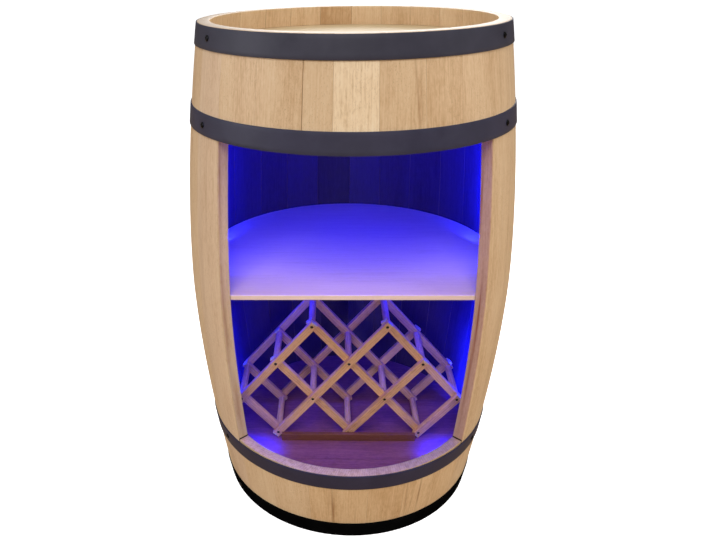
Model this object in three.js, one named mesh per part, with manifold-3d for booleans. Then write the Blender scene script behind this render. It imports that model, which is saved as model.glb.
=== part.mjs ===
// Barrel bar cabinet: a stave barrel with a tall opening in its front staves,
// one shelf, light strips behind the opening's sides and a folding lattice
// rack on its floor. Millimetres, +Z up, the opening faces -Y.
import * as THREE from 'three';
import { mergeVertices } from 'three/addons/utils/BufferGeometryUtils.js';
import Module from 'manifold-3d';

const wasm = await Module();
wasm.setup();

// ---------------------------------------------------------------- dimensions
const HEIGHT = 800;            // barrel height
const R_MID = 266.6;           // outer radius at mid height
const R_END = 226.7;           // outer radius at both ends
const BULGE = 1.74;            // exponent of the bulge curve
const WALL = 18;               // stave thickness
const GAP = 0.3;               // play between neighbouring pieces
const CENTRE_Y = -8;           // puts the origin in the middle of the footprint

const OPEN_LOW = 147.5;        // top ends of the short staves below the opening
const OPEN_HIGH = 659.5;         // lower ends of the short staves above it
const OPEN_HALF = 47.3;        // half angle of the opening at mid height, degrees
const OPEN_FLARE = 1.0;        // extra degrees at the opening's top and bottom

// seams between staves, degrees from the front (-Y) towards +X
const FRONT_SEAMS = [-47.3, -32, -16.2, -7, 6.5, 21, 34.2, 47.3];
const FULL_SEAMS = [47.3, 62.2, 76.9, 91.6, 106.3, 121, 134.9, 150.4, 164.7, 178.7,
  193.7, 208.6, 222.3, 238.5, 253.3, 268, 283, 297.5, 312.7];

const HEAD_T = 18;             // thickness of both heads
const TOP_HEAD_Z = 770;        // upper face of the top head
const FLOOR_Z = 78;            // upper face of the bottom head
const CROZE = 5;               // depth of the groove that holds a head

const HOOP_T = 1.6;
const HOOPS = { top: [770, 799.5], upper: [658.5, 688], lower: [118, 148], bottom: [0.5, 32] };

const SHELF_TOP = 425;
const SHELF_T = 8;
const SHELF_FRONT = -168;      // straight front edge

const STRIP_AZ = 53.5;         // light strips, degrees from the front
const STRIP_W = 10;
const STRIP_T = 2.2;

const SCREW_AZ = 58;
const SCREW_HEAD_R = 4.2;
const SCREW_R = 1.8;

const CELL_X = 64.5;           // half width of a rack cell, pivot to pivot
const CELL_Z = 74.3;           // half height of a rack cell
const RACK_Z0 = 89;            // height of the lowest row of pivots
const BAR_W = 13.5;            // bar width, in the lattice's plane
const BAR_D = 9.7;             // bar depth, front to back
const LAYER = 10;              // pitch between crossing bars
const BAR_END = 8;             // bar length past its last pivot
const RACK_FRONT = -66;        // front face of the front lattice
const RACK_BACK = 60.7;        // back face of the rear lattice
const DOWEL_R = 6;
const PIVOT_R = 3;
const PIVOT_HOLE_R = 3.35;
const PIVOT_SINK = 2.5;        // pivot ends lie this far below the bar's face

const GROMMET_AZ = 171.7;
const GROMMET_Z = 104;

// ------------------------------------------------------------------ materials
const finish = (color, roughness, metalness = 0) =>
  new THREE.MeshStandardMaterial({ color, roughness, metalness });
const BEECH = [0xd3b283, 0xcda877, 0xd8b98c, 0xc9a473, 0xd5b07e];
const beech = (i) => finish(BEECH[((i % 5) + 5) % 5], 0.6);

const cabinet = new THREE.Group();
cabinet.position.y = CENTRE_Y;

function add(name, geometry, material) {
  const mesh = new THREE.Mesh(geometry, material);
  mesh.name = name;
  cabinet.add(mesh);
  return mesh;
}

// -------------------------------------------------------------------- helpers
const rad = (d) => (d * Math.PI) / 180;
const outer = (z) => R_MID - (R_MID - R_END) * Math.abs((z - HEIGHT / 2) / (HEIGHT / 2)) ** BULGE;
const inner = (z) => outer(z) - WALL;
const slope = (z) => (outer(z + 0.5) - outer(z - 0.5));
const polar = (r, a, z) => [r * Math.sin(a), -r * Math.cos(a), z];

// the opening's edge: nearly straight, so it spans a little more angle away
// from mid height
const jamb = (z) => {
  const zz = Math.min(Math.max(z, OPEN_LOW), OPEN_HIGH);
  return OPEN_HALF + OPEN_FLARE * ((zz - HEIGHT / 2) / 255) ** 2;
};
const seam = (deg) => (z) => {
  if (Math.abs(deg - 47.3) < 1e-6) return rad(jamb(z));
  if (Math.abs(deg + 47.3) < 1e-6) return -rad(jamb(z));
  if (Math.abs(deg - 312.7) < 1e-6) return rad(360 - jamb(z));
  return rad(deg);
};

function volume(g) {
  const p = g.attributes.position, ix = g.index;
  const a = new THREE.Vector3(), b = new THREE.Vector3(), c = new THREE.Vector3();
  let v = 0;
  for (let i = 0; i < ix.count; i += 3) {
    a.fromBufferAttribute(p, ix.getX(i));
    b.fromBufferAttribute(p, ix.getX(i + 1));
    c.fromBufferAttribute(p, ix.getX(i + 2));
    v += a.dot(b.clone().cross(c)) / 6;
  }
  return v;
}

function closed(positions, triangles) {
  const g = new THREE.BufferGeometry();
  g.setAttribute('position', new THREE.Float32BufferAttribute(positions, 3));
  g.setIndex(triangles);
  if (volume(g) < 0) {
    for (let i = 0; i < triangles.length; i += 3) {
      [triangles[i + 1], triangles[i + 2]] = [triangles[i + 2], triangles[i + 1]];
    }
    g.setIndex(triangles);
  }
  g.computeVertexNormals();
  return g;
}

// A closed (radius, height) outline swept round the barrel's axis from one
// seam to the next; each seam is a function of the height. `cells` splits the
// outline into pieces for the two ends, so that they follow a bent seam.
function sweep(outline, from, to, steps, cells = [outline.map((_, i) => i)]) {
  const n = outline.length, pos = [], tri = [];
  for (let k = 0; k <= steps; k++) {
    for (const [r, z] of outline) {
      pos.push(...polar(r, from(z) + (to(z) - from(z)) * (k / steps), z));
    }
  }
  for (let k = 0; k < steps; k++) {
    for (let i = 0; i < n; i++) {
      const j = (i + 1) % n, a = k * n + i, b = k * n + j, c = (k + 1) * n + i, d = (k + 1) * n + j;
      tri.push(a, b, d, a, d, c);
    }
  }
  for (const cell of cells) {
    // each end's triangles follow the outline's own direction
    const flat = cell.map((i) => new THREE.Vector2(...outline[i]));
    const turn = THREE.ShapeUtils.area(flat) > 0;
    for (const t of THREE.ShapeUtils.triangulateShape(flat, [])) {
      const [p, q, s] = t.map((v) => flat[v]);
      const same = ((q.x - p.x) * (s.y - p.y) - (q.y - p.y) * (s.x - p.x) > 0) === turn;
      const [i, j, k] = (same ? t : [t[0], t[2], t[1]]).map((v) => cell[v]);
      tri.push(k, j, i, steps * n + i, steps * n + j, steps * n + k);
    }
  }
  return closed(pos, tri);
}

// heights at which every stave's faces bend, so that neighbours match
const ROWS = [0, 48, 98, OPEN_LOW, 220, 293, 366, 438, 511, 584, OPEN_HIGH, 698, 740, HEIGHT];
const GROOVES = [TOP_HEAD_Z, FLOOR_Z].map((z) => [z - HEAD_T - GAP, z + GAP]);

// a stave between two of those heights, with the grooves that hold the heads
function stave(z0, z1, from, to) {
  const rows = ROWS.filter((z) => z >= z0 && z <= z1);
  const outline = rows.map((z) => [outer(z), z]);
  const inside = rows.map(() => []);          // indices, from a row down to the next
  for (let i = rows.length - 1; i >= 0; i--) {
    inside[i].push(outline.length);
    outline.push([inner(rows[i]), rows[i]]);
    for (const [a, b] of GROOVES) {
      if (i > 0 && a > rows[i - 1] && b < rows[i]) {
        const r = inner((a + b) / 2) + CROZE;
        for (const corner of [[inner(b), b], [r, b], [r, a], [inner(a), a]]) {
          inside[i].push(outline.length);
          outline.push(corner);
        }
      }
    }
  }
  const cells = [];
  for (let i = 1; i < rows.length; i++) cells.push([i - 1, i, ...inside[i], inside[i - 1][0]]);
  return sweep(outline, from, to, 3, cells);
}

function toSolid(geometry) {
  let g = geometry.clone();
  g.deleteAttribute('normal');
  if (g.attributes.uv) g.deleteAttribute('uv');
  g = mergeVertices(g, 1e-4);
  return new wasm.Manifold(new wasm.Mesh({
    numProp: 3,
    vertProperties: new Float32Array(g.attributes.position.array),
    triVerts: new Uint32Array(g.index.array),
  }));
}

function toGeometry(solid) {
  const m = solid.getMesh();
  const g = new THREE.BufferGeometry();
  g.setAttribute('position', new THREE.BufferAttribute(new Float32Array(m.vertProperties), 3));
  g.setIndex(new THREE.BufferAttribute(new Uint32Array(m.triVerts), 1));
  g.computeVertexNormals();
  return g;
}

// frame on the barrel's outer face: local +Y points straight out of the wall
function wallFrame(azDeg, z, radius = outer(z)) {
  const a = rad(azDeg), s = slope(z), l = Math.hypot(1, s);
  const out = new THREE.Vector3(Math.sin(a) / l, -Math.cos(a) / l, -s / l);
  const side = new THREE.Vector3(Math.cos(a), Math.sin(a), 0);
  const third = new THREE.Vector3().crossVectors(side, out);
  const m = new THREE.Matrix4().makeBasis(side, out, third);
  m.setPosition(...polar(radius, a, z));
  return m;
}

function lathe(points, segments) {
  return new THREE.LatheGeometry(points.map(([r, y]) => new THREE.Vector2(r, y)), segments);
}

function cylinder(r, length, sides) {
  return new THREE.CylinderGeometry(r, r, length, sides);
}

// --------------------------------------------------------------------- staves
const SCREW_ROWS = {
  top: (HOOPS.top[0] + HOOPS.top[1]) / 2,
  upper: 672,
  lower: (HOOPS.lower[0] + HOOPS.lower[1]) / 2,
};

function drill(solid, azDeg, z, r, depth) {
  const hole = cylinder(r, depth + 6, 12).translate(0, 3 - depth / 2, 0).applyMatrix4(wallFrame(azDeg, z));
  return solid.subtract(toSolid(hole));
}

const play = (f, sign, z) => f(z) + (sign * GAP) / 2 / outer(z);
const between = (a, b) => [(z) => play(seam(a), 1, z), (z) => play(seam(b), -1, z)];

for (let i = 0; i < 18; i++) {
  const [from, to] = between(FULL_SEAMS[i], FULL_SEAMS[i + 1]);
  let g = stave(0, HEIGHT, from, to);
  let name = `stave_${String(i + 1).padStart(2, '0')}`;
  const side = i === 0 ? 1 : i === 17 ? -1 : 0;
  if (side) {
    name = side > 0 ? 'stave_right_jamb' : 'stave_left_jamb';
    let s = toSolid(g);
    for (const z of Object.values(SCREW_ROWS)) s = drill(s, side * SCREW_AZ, z, SCREW_R + GAP, 13);
    g = toGeometry(s);
  }
  if (FULL_SEAMS[i] < GROMMET_AZ && GROMMET_AZ < FULL_SEAMS[i + 1]) {
    g = toGeometry(drill(toSolid(g), GROMMET_AZ, GROMMET_Z, 8, 26));
  }
  add(name, g, beech(i * 3 + 1));
}

for (let i = 0; i < 7; i++) {
  const [from, to] = between(FRONT_SEAMS[i], FRONT_SEAMS[i + 1]);
  add(`upper_stave_${i + 1}`, stave(OPEN_HIGH, HEIGHT, from, to), beech(i * 2));
  add(`lower_stave_${i + 1}`, stave(0, OPEN_LOW, from, to), beech(i * 2 + 1));
}

// ---------------------------------------------------------------------- hoops
for (const [place, [z0, z1]] of Object.entries(HOOPS)) {
  const clear = 0.35;
  const ring = lathe([
    [outer(z0) + clear, z0], [outer(z0) + clear + HOOP_T, z0],
    [outer(z1) + clear + HOOP_T, z1], [outer(z1) + clear, z1], [outer(z0) + clear, z0],
  ], 96).rotateX(Math.PI / 2);
  let s = toSolid(ring);
  if (s.volume() < 0) throw new Error('hoop inside out');
  if (SCREW_ROWS[place]) {
    for (const side of [-1, 1]) s = drill(s, side * SCREW_AZ, SCREW_ROWS[place], SCREW_R + 0.5, 6);
  }
  add(`hoop_${place}`, toGeometry(s), finish(0x3a383e, 0.5, 0.6));
}

for (const [place, z] of Object.entries(SCREW_ROWS)) {
  for (const [word, side] of [['left', -1], ['right', 1]]) {
    const y = 0.35 + HOOP_T + GAP;   // underside of the screw's head
    const h = SCREW_HEAD_R;
    const screw = lathe([
      [0, -12.5], [SCREW_R, -11], [SCREW_R, y], [h, y], [h, y + 0.9],
      [h * 0.72, y + 1.9], [h * 0.35, y + 2.3], [0, y + 2.35],
    ], 14).applyMatrix4(wallFrame(side * SCREW_AZ, z));
    add(`hoop_screw_${place}_${word}`, toGeometry(toSolid(screw)), finish(0x161616, 0.4, 0.7));
  }
}

// ---------------------------------------------------------------------- heads
function head(zTop, rings = []) {
  const r = inner(zTop - HEAD_T / 2) + CROZE - 0.6;
  // the ring at 95% keeps the flat inside the barrel apart from the edge in its groove
  return lathe([[0, zTop - HEAD_T], [r, zTop - HEAD_T], [r, zTop], [r * 0.95, zTop],
    ...rings.map((q) => [q, zTop]), [0, zTop]], 96)
    .rotateX(Math.PI / 2);
}
add('top_head', toGeometry(toSolid(head(TOP_HEAD_Z))), finish(0xe6cd9b, 0.55));
// the ring at 86 parts the open floor in front from the floor under the rack and its strip
add('bottom_head', toGeometry(toSolid(head(FLOOR_Z, [86]))), finish(0xcaa777, 0.6));

// ---------------------------------------------------------------------- shelf
{
  const r = inner(SHELF_TOP) - 1.2;
  const notch = STRIP_T + 2.2;
  const start = (Math.acos(-SHELF_FRONT / r) * 180) / Math.PI;
  const pts = [];
  const put = (rr, deg) => { const [x, y] = polar(rr, rad(deg), 0); pts.push(new THREE.Vector2(x, y)); };
  const half = 1.7;
  put(r, start);
  put(r, STRIP_AZ - half); put(r - notch, STRIP_AZ - half);
  put(r - notch, STRIP_AZ + half); put(r, STRIP_AZ + half);
  const first = STRIP_AZ + half, last = 360 - first, count = 64;
  for (let i = 1; i < count; i++) put(r, first + ((last - first) * i) / count);
  put(r, last); put(r - notch, last);
  put(r - notch, 360 - STRIP_AZ + half); put(r, 360 - STRIP_AZ + half);
  put(r, 360 - start);
  const g = new THREE.ExtrudeGeometry(new THREE.Shape(pts), { depth: SHELF_T, bevelEnabled: false });
  g.translate(0, 0, SHELF_TOP - SHELF_T);
  add('shelf', g, finish(0xd8bb8a, 0.55));
}
for (const [word, centre] of [['right', 95], ['left', 265]]) {
  const z1 = SHELF_TOP - SHELF_T - GAP, z0 = z1 - 15;
  add(`shelf_cleat_${word}`, sweep([
    [inner(z0) - 1.1, z0], [inner(z1) - 1.1, z1], [inner(z1) - 15, z1], [inner(z0) - 15, z0],
  ], () => rad(centre - 15), () => rad(centre + 15), 6), finish(0xcaa777, 0.65));
}

// --------------------------------------------------------------------- lights
for (const [word, side] of [['right', 1], ['left', -1]]) {
  const rows = 10, z0 = 92, z1 = 744, out = [], back = [];
  for (let i = 0; i <= rows; i++) {
    const z = z0 + ((z1 - z0) * i) / rows;
    out.push([inner(z) - 0.7, z]);
    back.unshift([inner(z) - 0.7 - STRIP_T, z]);
  }
  const halfW = (z) => STRIP_W / 2 / inner(z);
  add(`led_strip_${word}`, sweep([...out, ...back],
    (z) => side * rad(STRIP_AZ) - halfW(z), (z) => side * rad(STRIP_AZ) + halfW(z), 1),
  finish(0xdfe6f5, 0.35));
}
{
  const w = 80, d = 36, r = 4, s = new THREE.Shape();
  s.moveTo(-w / 2 + r, -d / 2);
  s.lineTo(w / 2 - r, -d / 2); s.absarc(w / 2 - r, -d / 2 + r, r, -Math.PI / 2, 0, false);
  s.lineTo(w / 2, d / 2 - r); s.absarc(w / 2 - r, d / 2 - r, r, 0, Math.PI / 2, false);
  s.lineTo(-w / 2 + r, d / 2); s.absarc(-w / 2 + r, d / 2 - r, r, Math.PI / 2, Math.PI, false);
  s.lineTo(-w / 2, -d / 2 + r); s.absarc(-w / 2 + r, -d / 2 + r, r, Math.PI, Math.PI * 1.5, false);
  const g = new THREE.ExtrudeGeometry(s, { depth: 12, bevelEnabled: false, curveSegments: 3 });
  g.translate(0, 165, SHELF_TOP - SHELF_T - GAP - 12);
  add('led_controller', toGeometry(toSolid(g)), finish(0x1d1d1f, 0.5));
}
{
  const ring = lathe([
    [3.8, -WALL - 1], [7.6, -WALL - 1], [7.6, GAP], [11.5, GAP], [11.5, 1.2], [10.2, 2.4],
    [5, 2.4], [3.8, 1.2], [3.8, -WALL - 1],
  ], 16).applyMatrix4(wallFrame(GROMMET_AZ, GROMMET_Z));
  add('cable_grommet', toGeometry(toSolid(ring)), finish(0x151515, 0.8));
}

// -------------------------------------------------------------- folding rack
{
  const strip = new THREE.BoxGeometry(244, 8, 14);
  strip.translate(0, -71, FLOOR_Z + GAP + 7);
  add('rack_stop_strip', strip, finish(0xc29a63, 0.6));
}

const pivot = (i, j) => new THREE.Vector3(i * CELL_X, 0, RACK_Z0 + j * CELL_Z);

// Rising members run up to the right and hold the outer layers; falling
// members run up to the left, between them. `owns` are the pivots whose dowel
// is glued to the member; at its other pivots it turns on a neighbour's dowel.
const MEMBERS = {
  rack_rise_1: { kind: 'rise', nodes: [[-3, 1], [-2, 2], [-1, 3]], owns: ['-1,3', '-3,1'] },
  rack_rise_2: { kind: 'rise', nodes: [[-2, 0], [-1, 1], [0, 2], [1, 3]], owns: ['0,2'] },
  rack_rise_3: { kind: 'rise', nodes: [[0, 0], [1, 1], [2, 2]], owns: ['0,0', '2,2'] },
  rack_rise_4: { kind: 'rise', nodes: [[2, 0], [3, 1]], owns: ['2,0'] },
  rack_fall_1: { kind: 'fall', nodes: [[-2, 0], [-3, 1]], owns: ['-2,0'] },
  rack_fall_2: { kind: 'fall', nodes: [[0, 0], [-1, 1], [-2, 2]], owns: ['-1,1', '-2,2'] },
  rack_fall_3: { kind: 'fall', nodes: [[2, 0], [1, 1], [0, 2], [-1, 3]], owns: ['1,1'] },
  rack_fall_4: { kind: 'fall', nodes: [[3, 1], [2, 2], [1, 3]], owns: ['1,3', '3,1'] },
};

// a round pin along Y from y0 to y1 at a pivot
function pin(at, r, y0, y1, sides) {
  return toSolid(cylinder(r, y1 - y0, sides).translate(at.x, (y0 + y1) / 2, at.z));
}

function member({ kind, nodes, owns }, index) {
  const ends = [pivot(...nodes[0]), pivot(...nodes[nodes.length - 1])];
  const along = ends[1].clone().sub(ends[0]);
  const length = along.length() + 2 * BAR_END;
  const tilt = Math.atan2(along.z, along.x);
  const mid = ends[0].clone().add(ends[1]).multiplyScalar(0.5);
  const layers = kind === 'rise'
    ? [[RACK_FRONT, RACK_FRONT + BAR_D], [RACK_BACK - BAR_D, RACK_BACK]]
    : [[RACK_FRONT + LAYER, RACK_FRONT + LAYER + BAR_D],
      [RACK_BACK - LAYER - BAR_D, RACK_BACK - LAYER]];
  const innerFaces = [RACK_FRONT + LAYER + BAR_D, RACK_BACK - LAYER - BAR_D];
  let s = null;
  for (const [y0, y1] of layers) {
    const bar = new THREE.BoxGeometry(length, y1 - y0, BAR_W);
    bar.rotateY(-tilt);
    bar.translate(mid.x, (y0 + y1) / 2, mid.z);
    s = s ? s.add(toSolid(bar)) : toSolid(bar);
  }
  for (const [i, j] of nodes) {
    const at = pivot(i, j);
    if (owns.includes(`${i},${j}`)) {
      const play = kind === 'rise' ? GAP : -1;
      s = s.add(pin(at, DOWEL_R, innerFaces[0] + play, innerFaces[1] - play, 14));
      s = s.add(pin(at, PIVOT_R, RACK_FRONT + PIVOT_SINK, RACK_BACK - PIVOT_SINK, 12));
      if (kind === 'rise') {
        s = s.subtract(pin(at, PIVOT_R, RACK_FRONT - 1, RACK_FRONT + PIVOT_SINK, 12));
        s = s.subtract(pin(at, PIVOT_R, RACK_BACK - PIVOT_SINK, RACK_BACK + 1, 12));
      }
    } else {
      for (const [y0, y1] of layers) s = s.subtract(pin(at, PIVOT_HOLE_R, y0 - 1, y1 + 1, 12));
    }
  }
  return toGeometry(s);
}

let tone = 0;
for (const [name, spec] of Object.entries(MEMBERS)) {
  add(name, member(spec), finish([0xc99a5c, 0xd2a566, 0xbf9155, 0xcfa468][tone++ % 4], 0.6));
}

export default cabinet;
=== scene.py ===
import bpy
import bmesh
import math
import random
from mathutils import Matrix, Vector


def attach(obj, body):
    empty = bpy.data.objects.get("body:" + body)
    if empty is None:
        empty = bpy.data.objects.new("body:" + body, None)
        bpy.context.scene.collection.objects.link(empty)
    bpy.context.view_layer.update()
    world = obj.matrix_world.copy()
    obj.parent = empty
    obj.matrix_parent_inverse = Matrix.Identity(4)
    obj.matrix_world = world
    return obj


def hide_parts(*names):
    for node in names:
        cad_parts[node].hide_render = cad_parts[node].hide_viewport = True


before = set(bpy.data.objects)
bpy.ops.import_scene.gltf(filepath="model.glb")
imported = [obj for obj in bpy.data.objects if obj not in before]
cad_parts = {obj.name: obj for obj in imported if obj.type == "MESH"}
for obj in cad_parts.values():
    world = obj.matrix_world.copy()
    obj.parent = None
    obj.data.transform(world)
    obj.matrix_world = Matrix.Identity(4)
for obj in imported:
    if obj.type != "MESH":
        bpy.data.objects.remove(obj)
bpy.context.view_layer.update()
random.seed(7)

# ------------------------------------------------------------------ dimensions
# metres, the same values as the CAD; the barrel's axis stands at y = CY
H = 0.800
R_MID, R_END, BULGE = 0.2666, 0.2267, 1.74
WALL = 0.018
CY = -0.008
OPEN_LOW, OPEN_HIGH = 0.1475, 0.6595
FRONT_SEAMS = [-47.3, -32, -16.2, -7, 6.5, 21, 34.2, 47.3]
FULL_SEAMS = [47.3, 62.2, 76.9, 91.6, 106.3, 121, 134.9, 150.4, 164.7, 178.7,
              193.7, 208.6, 222.3, 238.5, 253.3, 268, 283, 297.5, 312.7]
HEAD_T, TOP_HEAD_Z, FLOOR_Z = 0.018, 0.770, 0.078
CROZE = 0.005
HOOP_T = 0.0016
HOOPS = {"top": (0.770, 0.7995), "upper": (0.6585, 0.688), "lower": (0.118, 0.148), "bottom": (0.0005, 0.032)}
SHELF_TOP, SHELF_T, SHELF_FRONT = 0.425, 0.008, -0.168
STRIP_AZ = 53.5
SCREW_AZ = 58
CELL_X, CELL_Z, RACK_Z0 = 0.0645, 0.0743, 0.089
BAR_W, BAR_D, LAYER, BAR_END = 0.0135, 0.0097, 0.010, 0.008
RACK_FRONT, RACK_BACK = -0.066, 0.0607


def outer(z):
    return R_MID - (R_MID - R_END) * abs((z - H / 2) / (H / 2)) ** BULGE


def inner(z):
    return outer(z) - WALL


def slope(z):
    return (outer(z + 0.0005) - outer(z - 0.0005)) / 0.001


def polar(r, a, z):
    return Vector((r * math.sin(a), -r * math.cos(a) + CY, z))


def jamb(z):
    zz = min(max(z, OPEN_LOW), OPEN_HIGH)
    return 47.3 + ((zz - H / 2) / 0.255) ** 2


def seam(deg):
    if abs(deg - 47.3) < 1e-6:
        return lambda z: math.radians(jamb(z))
    if abs(deg + 47.3) < 1e-6:
        return lambda z: -math.radians(jamb(z))
    if abs(deg - 312.7) < 1e-6:
        return lambda z: math.radians(360 - jamb(z))
    return lambda z: math.radians(deg)


# --------------------------------------------------------------- node shorthand
class Look:
    """A material with one Principled shader, and short names for its nodes."""

    def __init__(self, name):
        self.mat = bpy.data.materials.new(name)
        self.mat.use_nodes = True
        self.tree = self.mat.node_tree
        self.tree.nodes.clear()
        self.out = self.tree.nodes.new("ShaderNodeOutputMaterial")
        self.shader = self.tree.nodes.new("ShaderNodeBsdfPrincipled")
        self.tree.links.new(self.shader.outputs["BSDF"], self.out.inputs["Surface"])

    def set(self, **values):
        for key, value in values.items():
            socket = self.shader.inputs[key.replace("_", " ")]
            if isinstance(value, bpy.types.NodeSocket):
                self.tree.links.new(value, socket)
            else:
                socket.default_value = value
        return self

    def put(self, socket, value):
        if isinstance(value, bpy.types.NodeSocket):
            self.tree.links.new(value, socket)
        else:
            socket.default_value = value

    def attribute(self, name, output="Vector"):
        n = self.tree.nodes.new("ShaderNodeAttribute")
        n.attribute_name = name
        return n.outputs[output]

    def own(self):
        return self.tree.nodes.new("ShaderNodeTexCoord").outputs["Object"]

    def vector(self, op, a, b=(0, 0, 0)):
        n = self.tree.nodes.new("ShaderNodeVectorMath")
        n.operation = op
        self.put(n.inputs[0], a)
        self.put(n.inputs[1], b)
        return n.outputs["Value"] if op in ("LENGTH", "DISTANCE", "DOT_PRODUCT") else n.outputs["Vector"]

    def math(self, op, a, b=0.0, clamp=False):
        n = self.tree.nodes.new("ShaderNodeMath")
        n.operation = op
        n.use_clamp = clamp
        self.put(n.inputs[0], a)
        self.put(n.inputs[1], b)
        return n.outputs[0]

    def noise(self, vector, scale=1.0, detail=2.0, rough=0.5, distortion=0.0, output="Fac"):
        n = self.tree.nodes.new("ShaderNodeTexNoise")
        self.put(n.inputs["Vector"], vector)
        n.inputs["Scale"].default_value = scale
        n.inputs["Detail"].default_value = detail
        n.inputs["Roughness"].default_value = rough
        n.inputs["Distortion"].default_value = distortion
        return n.outputs[output]

    def cells(self, vector, scale=1.0, randomness=1.0):
        n = self.tree.nodes.new("ShaderNodeTexVoronoi")
        self.put(n.inputs["Vector"], vector)
        n.inputs["Scale"].default_value = scale
        n.inputs["Randomness"].default_value = randomness
        return n.outputs["Distance"]

    def ramp(self, fac, stops, ease="LINEAR"):
        n = self.tree.nodes.new("ShaderNodeValToRGB")
        n.color_ramp.interpolation = ease
        el = n.color_ramp.elements
        while len(el) < len(stops):
            el.new(0.5)
        for e, (pos, col) in zip(el, stops):
            e.position = pos
            e.color = (*col, 1) if len(col) == 3 else col
        self.put(n.inputs["Fac"], fac)
        return n.outputs["Color"]

    def span(self, value, a, b, c=0.0, d=1.0):
        n = self.tree.nodes.new("ShaderNodeMapRange")
        n.clamp = True
        self.put(n.inputs["Value"], value)
        for key, v in (("From Min", a), ("From Max", b), ("To Min", c), ("To Max", d)):
            n.inputs[key].default_value = v
        return n.outputs["Result"]

    def mix(self, fac, a, b, blend="MIX"):
        n = self.tree.nodes.new("ShaderNodeMix")
        n.data_type = "RGBA"
        n.blend_type = blend
        self.put(n.inputs[0], fac)
        for i, v in ((6, a), (7, b)):
            if isinstance(v, tuple) and len(v) == 3:
                v = (*v, 1)
            self.put(n.inputs[i], v)
        return n.outputs[2]

    def split(self, vector):
        n = self.tree.nodes.new("ShaderNodeSeparateXYZ")
        self.put(n.inputs[0], vector)
        return n.outputs

    def join(self, x, y, z):
        n = self.tree.nodes.new("ShaderNodeCombineXYZ")
        for i, v in enumerate((x, y, z)):
            self.put(n.inputs[i], v)
        return n.outputs[0]

    def bump(self, height, strength=0.3, distance=0.0005, normal=None):
        n = self.tree.nodes.new("ShaderNodeBump")
        n.inputs["Strength"].default_value = strength
        n.inputs["Distance"].default_value = distance
        self.put(n.inputs["Height"], height)
        if normal is not None:
            self.tree.links.new(normal, n.inputs["Normal"])
        return n.outputs["Normal"]


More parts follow.
